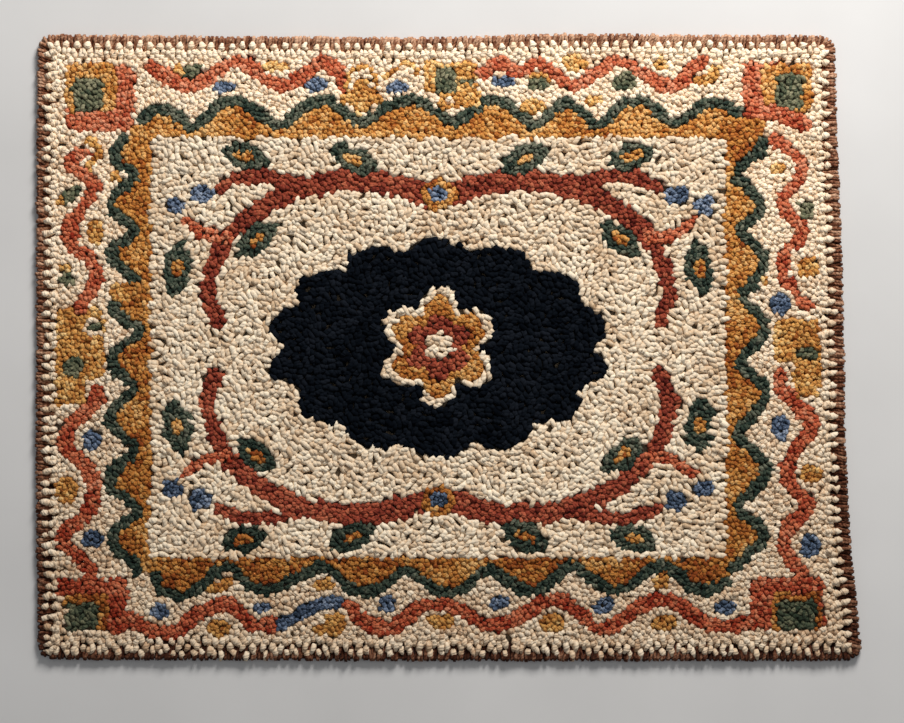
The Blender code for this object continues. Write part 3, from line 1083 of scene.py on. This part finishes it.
# Towards the near right corner the teeth stand further in, and more of the brown yarn shows
rightward, nearward = tooth_place[:, :1] / HALF_CHART[0], -tooth_place[:, 1:] / HALF_CHART[1]
pulled_in = TOOTH_PULL * np.clip(PULL_SHARE + (rightward + nearward) / 2, 0, 1)
tooth_corners = []
for a_form, chain_form in zip(TOOTH_A, TOOTH_CHAIN):
    form = a_form * (1 - chained) + chain_form * chained
    shake = dice.normal(0, TOOTH_SHAKE, (tooth_count, 2)) * (1 + chained)
    reach = form[:, :1] - pulled_in + shake[:, :1]
    place = tooth_place + tooth_out * reach + tooth_along * (form[:, 1:2] + shake[:, 1:])
    size = form[:, 2:4] * dice.uniform(*TOOTH_SIZES, (tooth_count, 2))
    angle = tooth_turn + np.radians(form[:, 4] + dice.normal(0, TOOTH_TWIST, tooth_count))
    foot, top = form[:, 5:6], form[:, 6]
    tooth_corners.append(arches(place, angle, size, TOOTH_ARCH, LOOP_SIDES, foot, top))
tooth_corners = np.concatenate(tooth_corners)
tooth_tint = tints(middle=0.62, spread=0.18, count=len(tooth_corners))
teeth = stitches("edge_teeth", tooth_corners, tooth_tint, wools["border cream"],
                 "hooked_panel")

# %% [markdown]
# ## The whipped edge
# The hem is rolled under and wrapped in brown yarn, stitch beside stitch. Each wrap starts low
# on the outside, goes up over the roll and dives into the pile between the teeth. The table is
# one wrap seen from the end of the roll. The wraps slant a little, because each step of the
# needle moves on along the edge. On the near side they are drawn tighter over the hem.

# %% Wraps
WRAP_PITCH = 3.7
WRAP_YARN = 4.4
FLOOR_GAP = 0.2
NEAR_TIGHTNESS = 1.6
WRAP_SLANT = 3.0
# Painted shade and light: how much darker the yarn is on the near side, and lighter on the far side, than at
# the ends
SHADY_SIDE = 0.08
ROLL_WIDTH = 14.3
WRAP_HAND = ROLL_WIDTH * 0.8
WRAP_FLATNESS = 0.9
# Scatter from wrap to wrap: distance out, slant, place along the edge and height
OUT_SCATTER, SLANT_SCATTER, ALONG_SCATTER, LIFT_SCATTER = 0.4, 3.8, 0.5, 0.7
# Scatter of the yarn's thickness from wrap to wrap, and its range within a wrap
SWELL_SCATTER, GIRTH_RANGE = 0.12, (0.86, 1.14)

# Distance in from the rug's outer side, height, bearing of the outer face (0 is out, 90 is up)
WRAP = ((3.6, 2.6, -40), (1.0, 4.5, 0), (1.9, 6.7, 50), (4.3, 7.5, 88), (7.2, 5.6, 120),
        (12.0, 4.6, 95), (20.4, 3.2, 110))
# The share of its inward run at which a wrap crosses its own place on the edge
WRAP_PIVOT = 0.4


def steps_along(ways, distances):
    """Each wrap's own way, taken by the distances of its points."""
    return ways[:, None, :] * distances[..., None]


wrap_place, wrap_along, wrap_out = along_rim(WRAP_PITCH, WRAP_HAND)
wrap_count = len(wrap_place)
inward, wrap_height, wrap_face = (np.array(column)[None, :] for column in zip(*WRAP))
swell = 1 + SWELL_SCATTER * dice.standard_normal((wrap_count, 1))
tight = NEAR_TIGHTNESS * np.clip(-wrap_out[:, 1:], 0, 1)
from_rim = ROLL_WIDTH - inward - tight + dice.normal(0, OUT_SCATTER, (wrap_count, 1))
slant = WRAP_SLANT + dice.normal(0, SLANT_SCATTER, (wrap_count, 1))
onward = slant * (inward / inward.max() - WRAP_PIVOT) + dice.normal(0, ALONG_SCATTER, (wrap_count, 1))
flat = wrap_place[:, None, :] + steps_along(wrap_out, from_rim) + steps_along(wrap_along, onward)
lift = wrap_height + dice.normal(0, LIFT_SCATTER, (wrap_count, 1))
wrap_path = np.concatenate((flat, lift[..., None]), axis=-1)
face = np.radians(wrap_face) * np.ones((wrap_count, 1))
wrap_top = np.concatenate((steps_along(wrap_out, np.cos(face)), np.sin(face)[..., None]), axis=-1)
wrap_side = np.broadcast_to(np.append(wrap_along, np.zeros((wrap_count, 1)), 1)[:, None, :], wrap_path.shape)
girth = WRAP_YARN * swell * dice.uniform(*GIRTH_RANGE, (wrap_count, inward.size))
wrap_corners = spin(wrap_path, wrap_top, wrap_side, girth * WRAP_FLATNESS, girth, LOOP_SIDES)
wrap_corners += dice.normal(0, KNOBBLY, wrap_corners.shape)
wrap_corners[..., 2] = np.maximum(wrap_corners[..., 2], FLOOR_GAP)
# Painted shade and light: near-side wraps take darker shades, far-side wraps lighter ones
wrap_tint = tints(middle=0.45, spread=0.26, count=wrap_count, drift=SHADY_SIDE * wrap_out[:, 1])
wraps = stitches("whipping_wraps", wrap_corners, wrap_tint, wools["brown"],
                 "whipped_edge")

# %% [markdown]
# Under the wraps lies the folded hem. It hardly shows, but without it light would leak between
# the wraps. It is one closed ring with a flat foot on the floor, and its top follows the wraps
# from below. Its inner side laps over the rim of the cloth.

# %% The folded hem under the wraps
HEM_PITCH = 10.0
HEM_TINT = 0.25

# Distance in from the rug's outer side, and height
HEM_SECTION = np.array(((1.9, 0.3), (1.5, 3.0), (1.9, 5.2), (3.8, 6.3),
                        (6.2, 4.3), (11.0, 3.5), (15.6, 2.4), (15.0, 0.3)))

hem_place, _, hem_out = along_rim(HEM_PITCH, ROLL_WIDTH)
HEM_STEPS, HEM_SPOTS = len(hem_place), len(HEM_SECTION)
hem_tight = NEAR_TIGHTNESS * np.clip(-hem_out[:, 1:], 0, 1)[:, None, :]
hem_reach = ROLL_WIDTH - HEM_SECTION[None, :, :1] - hem_tight
hem_flat = hem_place[:, None, :] + hem_out[:, None, :] * hem_reach
hem_rise = np.broadcast_to(HEM_SECTION[None, :, 1:], (HEM_STEPS, HEM_SPOTS, 1))
hem_points = np.concatenate((hem_flat, hem_rise), axis=-1)
step, spot = np.meshgrid(np.arange(HEM_STEPS), np.arange(HEM_SPOTS), indexing="ij")
next_step, next_spot = (step + 1) % HEM_STEPS, (spot + 1) % HEM_SPOTS
hem_faces = np.stack((next_step * HEM_SPOTS + spot, next_step * HEM_SPOTS + next_spot,
                      step * HEM_SPOTS + next_spot, step * HEM_SPOTS + spot), axis=-1).reshape(-1, 4)
hem_points = hem_points.reshape(-1, 3)
hem_facts = {"tint": np.full(len(hem_points), HEM_TINT), "run": np.zeros((len(hem_points), 3))}
hem = mesh_object("folded_hem", hem_points, [hem_faces], None, hem_facts, wools["brown"])
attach(hem, "root")
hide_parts("whipped_edge")
print("hem faces:", len(hem_faces))

# %% [markdown]
# ## The foundation cloth
# The linen lies under the pile, flat on the floor, and the loops stand with their feet in it.
# It is a thin sheet with the rug's own outline: rings of points from the middle to the rim, once
# for its upper side and once for its underside. Its plain weave is two crossed stripes of bump.

# %% Linen material
THREADS_PER_METRE = 520.0
SLUB_SCALE, WEAVE_TONE = 240.0, 0.25
WEAVE_BUMP, WEAVE_DEPTH = 0.6, 0.3 * MM
LINEN_ROUGHNESS = 0.95
LINEN_SHADES = ((0.16, 0.11, 0.07), (0.40, 0.31, 0.20), (0.56, 0.45, 0.31))
# Height and brightness at the underside and at the upper side; the upper side is painted darker, as shade
# under the pile
LINEN_LOW, LINEN_HIGH = (0.3 * MM, 1.0), (1.2 * MM, 0.6)


def linen():
    """Plain-woven linen with uneven threads, with painted shade on the side under the pile."""
    material = bpy.data.materials.new("foundation_linen")
    material.use_nodes = True
    tree = material.node_tree
    shader = tree.nodes["Principled BSDF"]
    place = add_node(tree, "ShaderNodeTexCoord", {}).outputs["Object"]
    parts = add_node(tree, "ShaderNodeSeparateXYZ", {0: place}).outputs
    stripes = []
    for axis in ("X", "Y"):
        threads = math_node(tree, "MULTIPLY", parts[axis], THREADS_PER_METRE * math.pi)
        stripes.append(math_node(tree, "SINE", threads))
    weave = math_node(tree, "MULTIPLY", *stripes)
    slubs = noise(tree, place, SLUB_SCALE, detail=3.0)
    tone = math_node(tree, "ADD", math_node(tree, "MULTIPLY", weave, WEAVE_TONE), slubs)
    colour = ramp(tree, tone, LINEN_SHADES)
    # Painted shade: the upper side, under the pile, is darkened
    painted_pile_shade = mapped(tree, parts["Z"], LINEN_LOW[0], LINEN_HIGH[0], LINEN_LOW[1], LINEN_HIGH[1])
    tree.links.new(scaled_colour(tree, colour, painted_pile_shade), shader.inputs["Base Color"])
    relief = {"Height": weave, "Strength": WEAVE_BUMP, "Distance": WEAVE_DEPTH}
    tree.links.new(add_node(tree, "ShaderNodeBump", relief).outputs[0], shader.inputs["Normal"])
    shader.inputs["Roughness"].default_value = LINEN_ROUGHNESS
    return material


# %% Foundation cloth
CLOTH_BOTTOM, CLOTH_TOP = 0.1, 1.4
CLOTH_PITCH, CLOTH_RINGS = 13.0, 14

spoke, _, _ = along_rim(CLOTH_PITCH)
CLOTH_SPOKES = len(spoke)
share = (np.arange(1, CLOTH_RINGS + 1) / CLOTH_RINGS)[:, None, None]


def cloth_side(height):
    """Points of one side of the cloth: the middle, then ring after ring out to the rim."""
    rings = (spoke[None] * share).reshape(-1, 2)
    flat = np.vstack(([0.0, 0.0], rings))
    return np.column_stack((flat, np.full(len(flat), height)))


upper, lower = cloth_side(CLOTH_TOP), cloth_side(CLOTH_BOTTOM)
ring, at = np.meshgrid(np.arange(CLOTH_RINGS - 1), np.arange(CLOTH_SPOKES), indexing="ij")
after = (at + 1) % CLOTH_SPOKES
inner, outer = ring * CLOTH_SPOKES, (ring + 1) * CLOTH_SPOKES
quads = np.stack((inner + at, outer + at, outer + after, inner + after), axis=-1).reshape(-1, 4) + 1
spokes = np.arange(CLOTH_SPOKES)
next_spokes = (spokes + 1) % CLOTH_SPOKES
fan = np.stack((np.zeros_like(spokes), spokes + 1, next_spokes + 1), axis=-1)
last = (CLOTH_RINGS - 1) * CLOTH_SPOKES + 1
last_low = len(upper) + last
edge = np.stack((last + spokes, last_low + spokes, last_low + next_spokes, last + next_spokes), axis=-1)
cloth_faces = [quads, quads[:, ::-1] + len(upper), edge, fan, fan[:, ::-1] + len(upper)]
cloth = mesh_object("foundation_cloth", np.vstack((upper, lower)), cloth_faces, None, {}, linen())
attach(cloth, "root")
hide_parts("hooked_panel")

# %% [markdown]
# ## Floor, light and camera
# The floor is plain and pale. Light comes in from beyond the rug's far edge, so the far part of
# the floor is brighter and every loop is lit on its far side, with a soft shadow below the near
# edge. The camera looks almost straight down, with a long lens, as the photo was taken.

# %% Floor
FLOOR_HALF = 3.0
FLOOR_SHADE = (0.62, 0.61, 0.60, 1.0)
FLOOR_PATCHES, FLOOR_MOTTLE = 5.0, (0.96, 1.04)
FLOOR_ROUGHNESS = 0.6


def pale_floor():
    """A plain pale floor with faint broad patches."""
    material = bpy.data.materials.new("pale_floor")
    material.use_nodes = True
    tree = material.node_tree
    shader = tree.nodes["Principled BSDF"]
    place = add_node(tree, "ShaderNodeTexCoord", {}).outputs["Object"]
    mottle = mapped(tree, noise(tree, place, FLOOR_PATCHES, detail=4.0), *NOISE_RANGE, *FLOOR_MOTTLE)
    colour = add_node(tree, "ShaderNodeRGB", {})
    colour.outputs[0].default_value = FLOOR_SHADE
    tree.links.new(scaled_colour(tree, colour.outputs[0], mottle), shader.inputs["Base Color"])
    shader.inputs["Roughness"].default_value = FLOOR_ROUGHNESS
    return material


floor_points = np.array([(x, y, 0.0) for x, y in ((-1, -1), (1, -1), (1, 1), (-1, 1))]) * FLOOR_HALF / MM
floor = mesh_object("floor", floor_points, [np.array([[0, 1, 2, 3]])], None, {}, pale_floor())
print("floor side:", 2 * FLOOR_HALF, "m")

# %% Light
ROOM_COLOUR, ROOM_STRENGTH = (0.93, 0.96, 1.0, 1.0), 0.22


def soft_light(name, place, size, power, colour):
    """A square lamp that faces the middle of the rug."""
    lamp = bpy.data.lights.new(name, "AREA")
    lamp.shape = "SQUARE"
    lamp.size = size
    lamp.energy = power
    lamp.color = colour
    light = bpy.data.objects.new(name, lamp)
    light.location = place
    light.rotation_euler = (-Vector(place)).to_track_quat("-Z", "Y").to_euler()
    bpy.context.scene.collection.objects.link(light)


soft_light("window", place=(0.6, 1.85, 1.3), size=0.8, power=71.5, colour=(1.0, 0.98, 0.95))
soft_light("bounce", place=(0.5, 0.3, 1.9), size=1.6, power=3.0, colour=(1.0, 0.96, 0.92))
world = bpy.data.worlds.new("room")
world.use_nodes = True
background = world.node_tree.nodes["Background"]
background.inputs["Color"].default_value = ROOM_COLOUR
background.inputs["Strength"].default_value = ROOM_STRENGTH
bpy.context.scene.world = world
bpy.context.scene.view_settings.view_transform = "Standard"

# %% Camera
PHOTO_WIDTH = 904
RUG_PIXELS = 824.5
RUG_MIDDLE_PIXEL = (447.4, 347.0)
PHOTO_MIDDLE = (452.0, 361.5)
LENS = 70.0
ELEVATION = 88.8
AIM_HEIGHT = 0.008

lens = bpy.data.cameras.new("camera")
lens.lens = LENS
camera = bpy.data.objects.new("camera", lens)
pixel = (cad_box[1][0] - cad_box[0][0]) / RUG_PIXELS
distance = pixel * PHOTO_WIDTH * LENS / lens.sensor_width
aside = (PHOTO_MIDDLE[0] - RUG_MIDDLE_PIXEL[0]) * pixel
beyond = (RUG_MIDDLE_PIXEL[1] - PHOTO_MIDDLE[1]) * pixel
aim = Vector((aside, beyond, AIM_HEIGHT))
tilt = math.radians(ELEVATION)
back = Vector((0.0, -math.cos(tilt), math.sin(tilt)))
camera.location = aim + back * distance
camera.rotation_euler = (-back).to_track_quat("-Z", "Y").to_euler()
bpy.context.scene.collection.objects.link(camera)
bpy.context.scene.camera = camera
print("camera", round(distance, 2), "m above the rug")

# %% [markdown]
# ## Last step
# Last we bring the scene up to date.

# %% Bring the scene up to date
bpy.context.view_layer.update()
